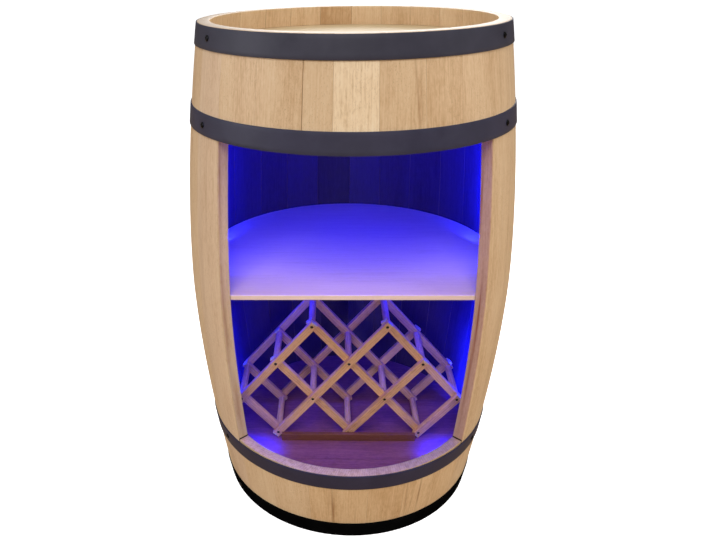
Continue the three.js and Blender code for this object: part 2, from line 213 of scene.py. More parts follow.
def wood(name, light, mid, dark, figure=0.65, fibres=0.7, mottle=0.75, fleck=0.8, ring=0.35, streak=0.5,
         rough=(0.42, 0.6), tone_step=0.16, inner_shade_blue_tint=(0.075, 0.058, 0.21), end_light=(0.61, 0.415, 0.32),
         end_dark=(0.35, 0.195, 0.14), end_shade=1.0, front_edge_blue_light=None, marks=(), jamb_marks=(), jamb_tint=(1.0, 1.0, 1.0)):
    """Sawn beech. 'grain' holds (across, depth, along) in metres, 'tone' the board's own shade, and
    'kind' how far a point is end grain, how much painted dark blue shade it takes on an inner face or a sawn jamb side,
    and how dark its joint edge is, up to a painted near-black shadow in kerfs."""
    k = Look(name)
    g = k.attribute("grain")
    tone = k.attribute("tone", "Fac")
    kind = k.split(k.attribute("kind"))
    # slow wander of the fibres
    wander = k.noise(k.vector("MULTIPLY", g, (9.0, 9.0, 1.6)), 1.0, 2.0, 0.5, output="Color")
    shift = k.vector("MULTIPLY", k.vector("SUBTRACT", wander, (0.5, 0.5, 0.5)), (0.014, 0.014, 0.0))
    p = k.vector("ADD", g, shift)
    band = k.noise(k.vector("MULTIPLY", p, (30.0, 30.0, 1.2)), 1.0, 3.0, 0.55)
    fibre = k.noise(k.vector("MULTIPLY", p, (420.0, 420.0, 14.0)), 1.0, 3.0, 0.65)
    speck = k.noise(k.vector("MULTIPLY", g, (300.0, 300.0, 95.0)), 1.0, 3.0, 0.6, 0.6)
    cloud = k.noise(k.vector("MULTIPLY", g, (22.0, 22.0, 9.0)), 1.0, 3.0, 0.55)
    # growth rings about a far pith that leans a little against the board
    c = k.split(p)
    lean = k.math("MULTIPLY", k.math("SUBTRACT", k.noise(k.vector("MULTIPLY", g, (0.4, 0.4, 1.3)), 1.0, 1.0), 0.5), 0.11)
    across = k.math("ADD", c[0], lean)
    depth = k.math("ADD", c[1], 0.052)
    far = k.math("SQRT", k.math("ADD", k.math("MULTIPLY", across, across), k.math("MULTIPLY", depth, depth)))
    turn = k.math("SINE", k.math("MULTIPLY", far, 2 * math.pi / 0.0038))
    late = k.span(turn, 0.2, 1.0)
    # rays: short dark dashes along the grain, thick in some places and thin in others
    cell = k.cells(k.vector("MULTIPLY", p, (760.0, 760.0, 240.0)), 1.0, 1.0)
    where = k.noise(k.vector("MULTIPLY", g, (30.0, 30.0, 11.0)), 1.0, 2.0)
    dash = k.math("MULTIPLY", k.span(cell, 0.30, 0.08), k.span(where, 0.36, 0.66), clamp=True)
    # a few long brown streaks
    vein = k.noise(k.vector("MULTIPLY", p, (75.0, 75.0, 0.9)), 1.0, 2.0, 0.5)
    vein = k.math("MULTIPLY", k.span(vein, 0.66, 0.76), k.span(cloud, 0.3, 0.6))
    shade = k.math("MULTIPLY", k.math("SUBTRACT", band, 0.5), 1.1 * figure)
    for source, centre, amount in ((fibre, 0.5, 0.9 * fibres), (speck, 0.5, 0.9 * mottle), (cloud, 0.5, 0.8 * figure)):
        shade = k.math("ADD", shade, k.math("MULTIPLY", k.math("SUBTRACT", source, centre), amount))
    shade = k.math("ADD", shade, k.math("MULTIPLY", k.math("SUBTRACT", late, 0.3), 0.2 * ring))
    shade = k.math("ADD", shade, k.math("MULTIPLY", tone, tone_step))
    fac = k.math("ADD", shade, 0.5, clamp=True)
    colour = k.ramp(fac, [(0.08, light), (0.5, mid), (0.95, dark)])
    brown = tuple(0.55 * v for v in dark)
    colour = k.mix(k.math("MULTIPLY", dash, 0.7 * fleck), colour, brown)
    colour = k.mix(k.math("MULTIPLY", vein, 0.55 * streak), colour, tuple(0.8 * v for v in dark))
    sawn = k.math("MULTIPLY", k.span(kind[1], 0.03, 0.08), k.span(kind[1], 0.6, 0.45)) if jamb_marks else None
    for axis, u0, z0, tilt, wide, tall, strength in [(0, *m) for m in marks] + [(1, *m) for m in jamb_marks]:
        # one brown streak of its own at (u0, z0) on this board, leaning by tilt
        off = k.math("SUBTRACT", k.math("SUBTRACT", c[axis], u0), k.math("MULTIPLY", k.math("SUBTRACT", c[2], z0), tilt))
        off = k.math("DIVIDE", off, wide)
        high = k.math("DIVIDE", k.math("SUBTRACT", c[2], z0), tall)
        line = k.math("EXPONENT", k.math("MULTIPLY", k.math("MULTIPLY", off, off), -1.0))
        span = k.math("EXPONENT", k.math("MULTIPLY", k.math("MULTIPLY", high, high), -1.0))
        amount = k.math("MULTIPLY", k.math("MULTIPLY", line, span), k.span(fibre, 0.25, 0.6, 0.6 * strength, 1.2 * strength), clamp=True)
        if axis:
            amount = k.math("MULTIPLY", amount, sawn)
        colour = k.mix(amount, colour, (0.36, 0.130, 0.060) if axis else (0.33, 0.150, 0.055))
    if jamb_marks:
        colour = k.mix(sawn, colour, k.mix(1.0, colour, jamb_tint, "MULTIPLY"))
    # end grain: greyer, with pores and the rings crossing it
    pores = k.noise(k.vector("MULTIPLY", g, (900.0, 900.0, 30.0)), 1.0, 2.0, 0.6)
    blot = k.noise(k.vector("MULTIPLY", g, (150.0, 150.0, 10.0)), 1.0, 2.0, 0.5)
    cut_fac = k.math("ADD", k.math("ADD", k.span(pores, 0.35, 0.75, 0.0, 0.55), k.math("MULTIPLY", late, 0.2)),
                     k.span(blot, 0.35, 0.7, 0.0, 0.4), clamp=True)
    cut = k.ramp(cut_fac, [(0.1, tuple(end_shade * v for v in end_light)), (0.9, tuple(end_shade * v for v in end_dark))])
    cut = k.mix(k.span(kind[1], 0.3, 0.7), k.ramp(cut_fac, [(0.0, (0.70, 0.575, 0.45)), (1.0, (0.50, 0.385, 0.285))]), cut)
    # painted shade: inner faces and sawn jamb sides are multiplied towards dark blue, standing in for the dark inside
    # and its blue light
    colour = k.mix(kind[1], colour, k.mix(1.0, colour, inner_shade_blue_tint, "MULTIPLY"))
    colour = k.mix(kind[0], colour, cut)
    if front_edge_blue_light is not None:
        # painted blue light on the sawn front edge: paler and bluer than the face
        edge_blue_light = k.mix(1.0, colour, (1.06, 1.20, 1.62), "MULTIPLY")
        colour = k.mix(k.span(k.split(g)[0], front_edge_blue_light + 0.0012, front_edge_blue_light + 0.0004), colour, edge_blue_light)
    # kind's third value: joint edges darker, painted shade on the band under the lip at 0.6, and from 1 to 1.8 a
    # painted near-black shadow in the kerfs and at the jambs' foot
    colour = k.mix(k.math("MULTIPLY", kind[2], 0.75, clamp=True), colour, tuple(0.5 * v for v in dark))
    colour = k.mix(k.span(kind[2], 1.0, 1.8), colour, (0.016, 0.009, 0.006))
    k.set(Base_Color=colour)
    k.set(Roughness=k.span(k.math("ADD", fibre, k.math("MULTIPLY", dash, 0.4)), 0.3, 1.0, rough[0], rough[1]))
    height = k.math("ADD", k.math("ADD", fibre, k.math("MULTIPLY", speck, 0.5)), k.math("MULTIPLY", dash, -0.6))
    k.set(Normal=k.bump(height, 0.22, 0.0003))
    k.shader.inputs["IOR"].default_value = 1.45
    k.shader.inputs["Specular IOR Level"].default_value = 0.38
    return k.mat


STAVE_LOOK = dict(light=(0.800, 0.610, 0.395), mid=(0.715, 0.505, 0.302), dark=(0.520, 0.315, 0.155))
BEECH = wood("beech_stave", **STAVE_LOOK)
BEECH_HEAD = wood("beech_head", (0.720, 0.580, 0.362), (0.680, 0.528, 0.312), (0.575, 0.400, 0.212), figure=0.25, mottle=0.25, fleck=0.25, streak=0.2)
# painted shade and painted blue light: floor and shelf cleats are beech darkened to a purple-brown
BEECH_FLOOR_PAINTED_SHADE = wood("beech_floor_painted_shade", (0.365, 0.132, 0.190), (0.250, 0.078, 0.130), (0.135, 0.043, 0.066), figure=0.6, fleck=0.6, ring=0.6, streak=0.9)
BEECH_SHELF = wood("beech_shelf", (0.850, 0.610, 0.430), (0.800, 0.530, 0.360), (0.660, 0.400, 0.250), figure=0.3, fleck=0.4, mottle=0.3,
                   front_edge_blue_light=SHELF_FRONT + CY + 12.3)
BEECH_RACK = wood("beech_rack", (0.840, 0.510, 0.310), (0.720, 0.380, 0.200), (0.420, 0.185, 0.080), figure=0.6, fleck=0.5, ring=0.9)
# painted shade: the rack stop strip is the rack beech darkened to a dark red-brown, the shade its front face sits in
BEECH_STRIP_PAINTED_SHADE = wood("beech_strip_painted_shade", (0.262, 0.098, 0.066), (0.212, 0.071, 0.044), (0.120, 0.036, 0.020), fleck=0.5, ring=0.6)


def paint(name, low, high, rough, metallic, peel=0.18, peel_scale=1400.0, gloss=0.5):
    """Satin paint on steel: orange peel, faint cloudiness and thin rubbed edges."""
    k = Look(name)
    o = k.own()
    cloud = k.noise(o, 22.0, 4.0, 0.6)
    peel_n = k.noise(o, peel_scale, 2.0, 0.5)
    wipe = k.noise(k.vector("MULTIPLY", o, (60.0, 60.0, 900.0)), 1.0, 3.0, 0.6)
    k.set(Base_Color=k.ramp(cloud, [(0.3, low), (0.72, high)]))
    k.set(Roughness=k.span(k.math("ADD", cloud, k.math("MULTIPLY", wipe, 0.5)), 0.45, 1.05, rough[0], rough[1]))
    k.set(Normal=k.bump(k.math("ADD", peel_n, k.math("MULTIPLY", wipe, 0.4)), peel, 0.00012))
    k.shader.inputs["Metallic"].default_value = metallic
    k.shader.inputs["Specular IOR Level"].default_value = gloss
    return k.mat


STEEL = paint("hoop_paint", (0.036, 0.036, 0.055), (0.051, 0.050, 0.074), (0.44, 0.56), 0.0, gloss=0.34)
# painted shade: the hoops share one paint; the upper copy is darker with a blue cast, the lower one darker still and
# the bottom one near black
STEEL_UPPER_PAINTED_SHADE = paint("hoop_paint_upper", (0.033, 0.032, 0.059), (0.046, 0.045, 0.079), (0.44, 0.56), 0.0, gloss=0.34)
STEEL_MID_PAINTED_SHADE = paint("hoop_paint_lower", (0.025, 0.023, 0.049), (0.036, 0.033, 0.067), (0.46, 0.58), 0.0, gloss=0.2)
STEEL_LOW_PAINTED_SHADE = paint("hoop_paint_low", (0.0015, 0.0015, 0.0018), (0.004, 0.004, 0.0045), (0.50, 0.62), 0.0, gloss=0.0)
SCREW = paint("screw_black_oxide", (0.006, 0.006, 0.007), (0.016, 0.015, 0.016), (0.28, 0.45), 0.8, 0.1, 2600.0)
PIN = paint("pin_dark", (0.012, 0.008, 0.006), (0.030, 0.020, 0.014), (0.5, 0.7), 0.2, 0.2, 3000.0)
PLASTIC = paint("controller_plastic", (0.010, 0.010, 0.011), (0.018, 0.018, 0.020), (0.48, 0.62), 0.0, 0.35, 2200.0)
RUBBER = paint("grommet_rubber", (0.008, 0.008, 0.008), (0.018, 0.018, 0.018), (0.7, 0.85), 0.0, 0.3, 1600.0)


def tape():
    k = Look("led_tape")
    o = k.own()
    n = k.noise(o, 260.0, 3.0, 0.6)
    k.set(Base_Color=k.ramp(n, [(0.3, (0.72, 0.76, 0.84)), (0.8, (0.83, 0.86, 0.90))]))
    k.set(Roughness=k.span(n, 0.3, 0.8, 0.28, 0.42))
    return k.mat


def diode():
    k = Look("led_diode")
    o = k.own()
    n = k.noise(o, 900.0, 2.0, 0.5)
    k.set(Base_Color=k.ramp(n, [(0.3, (0.50, 0.62, 0.90)), (0.8, (0.66, 0.76, 0.95))]))
    k.set(Roughness=k.span(n, 0.3, 0.8, 0.2, 0.35))
    k.shader.inputs["Emission Color"].default_value = (0.02, 0.06, 1.0, 1)
    k.shader.inputs["Emission Strength"].default_value = 6.0
    return k.mat


TAPE, DIODE = tape(), diode()


# ------------------------------------------------------------------ mesh helper
class Shape:
    """Vertices with their grain position and shade, faces with a material number."""

    def __init__(self):
        self.v, self.f, self.m, self.g, self.t, self.k = [], [], [], [], [], []

    def vert(self, p, grain=(0, 0, 0), tone=0.0, kind=(0.0, 0.0, 0.0)):
        self.v.append(tuple(p))
        self.g.append(tuple(grain))
        self.t.append(tone)
        self.k.append(tuple(kind))
        return len(self.v) - 1

    def face(self, idx, mat=0):
        self.f.append(tuple(idx))
        self.m.append(mat)

    def object(self, name, mats, smooth=18.0, body="cabinet", node=None):
        me = bpy.data.meshes.new(name)
        me.from_pydata(self.v, [], self.f)
        for m in mats:
            me.materials.append(m)
        me.polygons.foreach_set("material_index", self.m)
        me.polygons.foreach_set("use_smooth", [True] * len(self.f))
        a = me.attributes.new("grain", "FLOAT_VECTOR", "POINT")
        a.data.foreach_set("vector", [c for g in self.g for c in g])
        b = me.attributes.new("tone", "FLOAT", "POINT")
        b.data.foreach_set("value", self.t)
        c = me.attributes.new("kind", "FLOAT_VECTOR", "POINT")
        c.data.foreach_set("vector", [x for k in self.k for x in k])
        bm = bmesh.new()
        bm.from_mesh(me)
        bmesh.ops.recalc_face_normals(bm, faces=bm.faces)
        bm.to_mesh(me)
        bm.free()
        me.set_sharp_from_angle(angle=math.radians(smooth))
        ob = bpy.data.objects.new(name, me)
        bpy.context.scene.collection.objects.link(ob)
        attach(ob, body)
        if node:
            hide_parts(*([node] if isinstance(node, str) else node))
        return ob


def steps(a, b, size):
    n = max(1, round(abs(b - a) / size))
    return [a + (b - a) * i / n for i in range(n)]


# ----------------------------------------------------------------------- staves
def jamb_shade(z, right):
    """Painted shade on the sawn sides of the opening: deeper low down and on the right, tinted dark blue like the
    inside.
    """
    return (0.33 if right else 0.30) - (0.16 if right else 0.20) * min(1.0, max(0.0, (z - 0.18) / 0.40))




def stave(name, z0, z1, fa, fb, ca, cb, seed, tone, node, kerf=None, mat=None, lift=None):
    """ca and cb give the chamfer of the two outer edges at a height, and lift raises the
    points of a cut end by their angle."""
    s = Shape()
    jamb_side = ca is exposed or cb is exposed
    n = 8
    mid = (fa((z0 + z1) / 2) + fb((z0 + z1) / 2)) / 2
    low, high = z0 < 1e-6, z1 > H - 1e-6
    rings = []  # (z, inset of both faces, extra inner radius)
    ease = 0.0009
    for i in range(4):
        a = math.pi / 2 * i / 3
        rings.append((z0 + ease * (1 - math.cos(a)), ease * (1 - math.sin(a)), 0.0))
    grooves = [(z - HEAD_T - 0.0002, z + 0.0002) for z in (FLOOR_Z, TOP_HEAD_Z)]
    inside = [(a, b) for a, b in grooves if a > z0 and b < z1]
    edge = z0 + 0.004
    for a, b in inside:
        for z in steps(edge, a, 0.016):
            rings.append((z, 0.0, 0.0))
        rings += [(a - 0.0001, 0.0, 0.0), (a, 0.0, CROZE), (b, 0.0, CROZE), (b + 0.0001, 0.0, 0.0)]
        edge = b + 0.003
    for z in steps(edge, z1 - 0.004, 0.016) + [z1 - 0.004]:
        rings.append((z, 0.0, 0.0))
    for i in range(4):
        a = math.pi / 2 * (3 - i) / 3
        rings.append((z1 - ease * (1 - math.cos(a)), ease * (1 - math.sin(a)), 0.0))
    if jamb_side:
        rings = sorted(rings + [(z, 0.0, 0.0) for z in (OPEN_LOW - 0.001, OPEN_LOW + 0.0062, OPEN_LOW + 0.0075)], key=lambda q: q[0])
    hair = 0.00004
    first = None
    count = 0
    for row, (z, inset, extra) in enumerate(rings):
        end = 1.0 if row in (0, len(rings) - 1) else 0.0
        a, b = fa(z), fb(z)
        if kerf:
            da, db = kerf(z)
            a, b = a + da / outer(z), b - db / outer(z)
        ro, ri = outer(z) - inset, inner(z) + inset + extra
        co_a, co_b = min(ca(z), 0.004), min(cb(z), 0.004)
        ci = 0.0004
        # inner faces inside the barrel take the full painted dark blue shade
        inner_painted_shade = 1.0 if FLOOR_Z - 0.01 < z < TOP_HEAD_Z - 0.01 else 0.0
        joint_dark_and_shadow_a = 0.0 if ca is exposed and ca(z) > 0.0005 else 1.0
        joint_dark_and_shadow_b = 0.0 if cb is exposed and cb(z) > 0.0005 else 1.0
        side_a = jamb_shade(z, True) if joint_dark_and_shadow_a < 0.5 else 0.0
        side_b = jamb_shade(z, False) if joint_dark_and_shadow_b < 0.5 else 0.0
        # painted shadow: near black on the jamb sides just at the lip and on the corner kerf walls, standing in for the
        # dark gap
        if jamb_side and abs(z - OPEN_LOW) < 0.0064:
            joint_dark_and_shadow_a = joint_dark_and_shadow_b = 2.0
        if kerf and z > OPEN_LOW - 0.012:
            joint_dark_and_shadow_a, joint_dark_and_shadow_b = (2.0, 1.0) if kerf(z)[0] > 0 else (1.0, 2.0)
        # the inner face column carries painted shade, the shut edge column joint darkening and painted shadow
        pts = []                                   # (radius, angle, inner face, shut edge)
        lip_end = 1.0 if lift and row == len(rings) - 1 else 0.0
        # painted shade on the outer face just under the lip's sawn top
        lip_painted_shade = 0.6 if lift and z > OPEN_LOW - 0.005 else 0.0
        for i in range(n + 1):
            t = i / n
            pts.append((ro, a + co_a / ro + (b - a - (co_a + co_b) / ro) * t, lip_end, lip_painted_shade))
        pts += [(ro - co_b, b - hair / ro, side_b, joint_dark_and_shadow_b), (ri + ci, b - hair / ri, side_b if side_b else inner_painted_shade, joint_dark_and_shadow_b)]
        for i in range(n, -1, -1):
            t = i / n
            pts.append((ri, a + ci / ri + (b - a - 2 * ci / ri) * t, inner_painted_shade, 0.0))
        pts += [(ri + ci, a + hair / ri, side_a if side_a else inner_painted_shade, joint_dark_and_shadow_a), (ro - co_a, a + hair / ro, side_a, joint_dark_and_shadow_a)]
        count = len(pts)
        start = len(s.v)
        for r, ang, inside, joint_dark_and_shadow in pts:
            zz = z + (lift(ang, z) if lift else 0.0)
            s.vert(polar(r + outer(zz) - outer(z), ang, zz), ((ang - mid) * outer(z) + seed * 0.37, r - outer(z) + seed * 0.11, z + seed * 1.73), tone,
                   (end, inside, joint_dark_and_shadow * (1 - end)))
        if first is not None:
            for i in range(count):
                j = (i + 1) % count
                s.face((first + i, first + j, start + j, start + i))
        first = start
    for base in (0, first):
        s_o = base
        i0 = base + n + 3                    # first inner point, at seam b
        for i in range(n):
            s.face((s_o + i, s_o + i + 1, i0 + n - i - 1, i0 + n - i))
        s.face((base + n, base + n + 1, base + n + 2, i0))
        s.face((base, i0 + n, i0 + n + 1, i0 + n + 2))
    return s.object(name, [mat or BEECH], 18.0, "cabinet", node)


def plain(z):
    return 0.00022


def exposed(z):
    return 0.0012 if OPEN_LOW + 0.0070 < z < OPEN_HIGH - 0.002 else 0.0002


def streaks(seed, *spots):
    """Each spot is (across, height, lean, width, length, strength) on the board with this seed."""
    return [(u + seed * 0.37, z + seed * 1.73, lean, wide, tall, strength) for u, z, lean, wide, tall, strength in spots]


def sawn_streaks(seed, *spots):
    """The same on a sawn side, where the first number is the depth under the outer face."""
    return [(seed * 0.11 - d, z + seed * 1.73, lean, wide, tall, strength) for d, z, lean, wide, tall, strength in spots]


JAMB_LOOKS = {
    "stave_right_jamb": wood("beech_stave_right_jamb", **STAVE_LOOK,
                             marks=streaks(1, (-0.0215, 0.40, 0.0, 0.0016, 0.100, 0.22), (0.004, 0.55, 0.0, 0.0050, 0.120, 0.10)),
                             jamb_marks=sawn_streaks(1, (0.0145, 0.57, 0.0, 0.0018, 0.060, 0.80), (0.0065, 0.39, 0.01, 0.0019, 0.065, 1.0),
                                                     (0.0100, 0.27, 0.0, 0.0026, 0.075, 0.70)), jamb_tint=(0.94, 0.81, 0.90)),
    "stave_left_jamb": wood("beech_stave_left_jamb", (0.800, 0.620, 0.435), (0.712, 0.512, 0.338), (0.515, 0.320, 0.175),
                            marks=streaks(18, (-0.022, 0.47, 0.0, 0.0080, 0.120, 0.16), (0.0, 0.58, 0.0, 0.0012, 0.100, 0.25)),
                            jamb_marks=sawn_streaks(18, (0.0040, 0.60, 0.0, 0.0016, 0.070, 0.65), (0.0035, 0.40, 0.0, 0.0030, 0.100, 0.50),
                                                    (0.0080, 0.22, 0.0, 0.0040, 0.050, 0.45)), jamb_tint=(1.0, 1.0, 0.90)),
}
FULL_TONES = [0.1, -0.3, 0.4, -0.1, 0.5, -0.2, 0.3, 0.1, -0.4, 2.2, -0.1, 0.3, -0.5, 0.4, -0.2, 0.3, -0.3, 0.2]
for i in range(18):
    node = "stave_right_jamb" if i == 0 else "stave_left_jamb" if i == 17 else f"stave_{i + 1:02d}"
    stave(node + "_wood", 0, H, seam(FULL_SEAMS[i]), seam(FULL_SEAMS[i + 1]),
          exposed if i == 0 else plain, exposed if i == 17 else plain, i + 1, FULL_TONES[i], node,
          mat=JAMB_LOOKS.get(node))

SEAM_CUT = {-16.2: 0.0007, -7: 0.00012, 6.5: 0.00015, 21: 0.0002, 34.2: 0.00012, -32: 0.00012}
LOW_CUT = {-7: 0.00022, 21: 0.00022}
UPPER_TONES = [0.1, 0.3, 0.1, 0.0, 0.3, 0.5, 0.7]
LOWER_TONES = [-0.6, 0.1, 0.5, 0.4, 0.7, 0.4, 0.4]


def lip(ang, z):
    """The sawn lower edge of the opening climbs a little towards the two corners."""
    rise = 0.0058 * (1 - math.cos(ang)) / (1 - math.cos(math.radians(47.3)))
    return rise * min(1.0, max(0.0, (z - 0.115) / (OPEN_LOW - 0.004 - 0.115)))


def corner_kerf(side):
    def cut(z):
        k = 0.0023 if z > OPEN_LOW - 0.011 else 0.0
        return (k, 0.0) if side < 0 else (0.0, k)
    return cut


# painted shade: a slightly darker, warmer copy of the stave look for the short pieces below the opening
LOW_LOOK_PAINTED_SHADE = dict(light=(0.795, 0.588, 0.360), mid=(0.708, 0.482, 0.270), dark=(0.515, 0.300, 0.138))
PALE = dict(light=(0.950, 0.780, 0.560), mid=(0.880, 0.675, 0.440), dark=(0.600, 0.400, 0.215))
MARKED = {
    "upper_stave_4": wood("beech_stave_pale", **PALE, fleck=0.8, mottle=0.85, fibres=1.0),
    "upper_stave_5": wood("beech_stave_upper_streak", **STAVE_LOOK, marks=streaks(
        34, (0.0186, 0.727, -0.09, 0.0017, 0.060, 0.42), (0.0250, 0.715, -0.04, 0.0011, 0.040, 0.30))),
    "lower_stave_3": wood("beech_stave_lower_streak_a", **LOW_LOOK_PAINTED_SHADE, marks=streaks(
        52, (0.0182, 0.072, 0.0, 0.0019, 0.036, 0.85), (0.0125, 0.085, 0.02, 0.0014, 0.035, 0.35))),
    "lower_stave_4": wood("beech_stave_lower_streak_b", **LOW_LOOK_PAINTED_SHADE, marks=streaks(
        53, (-0.0274, 0.060, 0.0, 0.0020, 0.032, 0.80), (0.009, 0.050, 0.05, 0.0014, 0.020, 0.25))),
    # end_shade here is painted shade on the lip's sawn top, deeper towards the right
    "lower_stave_5": wood("beech_stave_lower_end_painted_shade_a", **LOW_LOOK_PAINTED_SHADE, end_shade=0.88),
    "lower_stave_7": wood("beech_stave_lower_end_painted_shade_b", **LOW_LOOK_PAINTED_SHADE, end_shade=0.70),
    "lower_stave_6": wood("beech_stave_lower_streak_painted_shade_c", **LOW_LOOK_PAINTED_SHADE, end_shade=0.76, marks=streaks(
        55, (0.0038, 0.080, 0.0, 0.0018, 0.034, 0.75), (-0.0200, 0.080, -0.03, 0.0020, 0.040, 0.55), (-0.0095, 0.060, 0.05, 0.0012, 0.022, 0.35))),
}
for i in range(7):
    a, b = FRONT_SEAMS[i], FRONT_SEAMS[i + 1]
    cut_a = (lambda z, c=SEAM_CUT.get(a, 0.00012): c)
    cut_b = (lambda z, c=SEAM_CUT.get(b, 0.00012): c)
    low_a = (lambda z, c=LOW_CUT.get(a, 0.00018): c)
    low_b = (lambda z, c=LOW_CUT.get(b, 0.00018): c)
    stave(f"upper_stave_{i + 1}_wood", OPEN_HIGH, H, seam(a), seam(b), cut_a, cut_b, 30 + i, UPPER_TONES[i], f"upper_stave_{i + 1}",
          mat=MARKED.get(f"upper_stave_{i + 1}"))
    stave(f"lower_stave_{i + 1}_wood", 0, OPEN_LOW, seam(a), seam(b), low_a, low_b, 50 + i, LOWER_TONES[i], f"lower_stave_{i + 1}",
          corner_kerf(-1) if i == 0 else corner_kerf(1) if i == 6 else None, MARKED.get(f"lower_stave_{i + 1}"), lip)


# ------------------------------------------------------------------------ hoops
def hoop(place, mat):
    z0, z1 = HOOPS[place]
    s = Shape()
    sides, c, e = 288, 0.00012, 0.00045
    rows = 5
    pts = []                                  # (radius, height) round the band's section
    for i in range(rows + 1):
        z = z0 + (z1 - z0) * i / rows
        pts.append((outer(z) + c, z))
    pts += [(outer(z1) + c + HOOP_T - e, z1), (outer(z1) + c + HOOP_T - e * 0.3, z1 - e * 0.3), (outer(z1) + c + HOOP_T, z1 - e)]
    for i in range(rows - 1, 0, -1):
        z = z0 + (z1 - z0) * i / rows
        pts.append((outer(z) + c + HOOP_T, z))
    pts += [(outer(z0) + c + HOOP_T, z0 + e), (outer(z0) + c + HOOP_T - e * 0.3, z0 + e * 0.3), (outer(z0) + c + HOOP_T - e, z0)]
    n = len(pts)
    for k in range(sides):
        a = 2 * math.pi * k / sides
        for r, z in pts:
            s.vert(polar(r, a, z))
    for k in range(sides):
        for i in range(n):
            j = (i + 1) % n
            p, q = k * n, ((k + 1) % sides) * n
            s.face((p + i, p + j, q + j, q + i))
    return s.object(f"hoop_{place}_band", [mat], 50.0, "cabinet", f"hoop_{place}")


for place in HOOPS:
    hoop(place, {"bottom": STEEL_LOW_PAINTED_SHADE, "lower": STEEL_MID_PAINTED_SHADE, "upper": STEEL_UPPER_PAINTED_SHADE}.get(place, STEEL))


def wall_frame(az, z, lift=0.0):
    a, s = math.radians(az), slope(z)
    l = math.hypot(1, s)
    out = Vector((math.sin(a) / l, -math.cos(a) / l, -s / l))
    side = Vector((math.cos(a), math.sin(a), 0))
    up = out.cross(side)
    p = polar(outer(z), a, z) + out * lift
    return Matrix(((side.x, up.x, out.x, p.x), (side.y, up.y, out.y, p.y), (side.z, up.z, out.z, p.z), (0, 0, 0, 1)))


def screw(name, az, z, node=None):
    """A pan head with a cross recess, and its plain shank in the wood."""
    s = Shape()
    m = wall_frame(az, z, HOOP_T + 0.0002)
    turn = math.radians(25 + 40 * math.sin(az * 1.7 + z * 31))
    sides, radii = 48, [0.0042, 0.0041, 0.0038, 0.0034, 0.0029, 0.0024, 0.0020, 0.0016, 0.0012, 0.0008, 0.0004]
    top = lambda r: 0.0009 + 0.0013 * max(0.0, 1 - (r / 0.0042) ** 2) ** 0.6

    def recess(x, y):
        u, v = abs(x * math.cos(turn) + y * math.sin(turn)), abs(-x * math.sin(turn) + y * math.cos(turn))
        a, b = min(u, v), max(u, v)
        if b > 0.0022:
            return 0.0
        wide = min(1.0, max(0.0, (0.00058 - a) / 0.00022))
        return 0.0011 * wide * min(1.0, (0.0022 - b) / 0.0007)

    rings = []
    for r, h in [(0.0018, -0.0125), (0.0018, 0.0), (0.0042, 0.0), (0.0042, 0.0007)]:
        rings.append([s.vert(m @ Vector((r * math.cos(t), r * math.sin(t), h))) for t in [2 * math.pi * k / sides for k in range(sides)]])
    for r in radii[1:]:
        ring = []
        for k in range(sides):
            t = 2 * math.pi * k / sides
            x, y = r * math.cos(t), r * math.sin(t)
            ring.append(s.vert(m @ Vector((x, y, top(r) - recess(x, y)))))
        rings.append(ring)
    for p, q in zip(rings, rings[1:]):
        for k in range(sides):
            j = (k + 1) % sides
            s.face((p[k], p[j], q[j], q[k]))
    tip = s.vert(m @ Vector((0, 0, -0.0135)))
    eye = s.vert(m @ Vector((0, 0, top(0) - 0.0011)))
    for k in range(sides):
        j = (k + 1) % sides
        s.face((rings[0][j], rings[0][k], tip))
        s.face((rings[-1][k], rings[-1][j], eye))
    return s.object(name, [SCREW], 40.0, "cabinet", node)


for place, z in (("top", 0.78475), ("upper", 0.672), ("lower", 0.133), ("bottom", 0.01625)):
    for word, side in (("left", -1), ("right", 1)):
        node = None if place == "bottom" else f"hoop_screw_{place}_{word}"
        screw(f"hoop_screw_{place}_{word}_head", side * SCREW_AZ, z, node)


# ------------------------------------------------------------------------ heads
def boards(name, z_top, cuts, mat, node, seed, tones):
    """A round head of boards that run along X, joined edge to edge."""
    R = inner(z_top - HEAD_T / 2) + CROZE - 0.0006
    s = Shape()
    cuts = [-R] + cuts + [R]
    for b in range(len(cuts) - 1):
        y0, y1 = cuts[b], cuts[b + 1]
        t = tones[b % len(tones)]
        levels = [(z_top - HEAD_T, 0.0002), (z_top - 0.0003, 0.00003), (z_top, 0.00028)]
        rings = []
        for z, inset in levels:
            r = R - inset
            lo = max(-r, y0 + inset) if b else -r
            hi = min(r, y1 - inset) if b < len(cuts) - 2 else r
            a0, a1 = math.asin(max(-1, lo / r)), math.asin(min(1, hi / r))
            ring = []
            n = 20
            for k in range(n + 1):
                a = a0 + (a1 - a0) * k / n
                ring.append((r * math.cos(a), r * math.sin(a)))
            for k in range(n, -1, -1):
                a = a0 + (a1 - a0) * k / n
                ring.append((-r * math.cos(a), r * math.sin(a)))
            out = []
            for x, y in ring:
                out.append(s.vert((x, y + CY, z), (y + seed + b * 0.7, z - z_top + b * 0.013, x + seed + b * 2.3), t))
            rings.append(out)
        for p, q in zip(rings, rings[1:]):
            c = len(p)
            for k in range(c):
                j = (k + 1) % c
                s.face((p[k], p[j], q[j], q[k]))
        for ring in (rings[0], rings[-1]):
            n = 20
            for k in range(n):
                s.face((ring[k], ring[k + 1], ring[2 * n + 1 - k - 1], ring[2 * n + 1 - k]))
    bm_name = s.object(name, [mat], 18.0, "cabinet", node)
    me = bm_name.data
    bm = bmesh.new()
    bm.from_mesh(me)
    bmesh.ops.remove_doubles(bm, verts=bm.verts, dist=1e-6)
    bm.to_mesh(me)
    bm.free()
    return bm_name


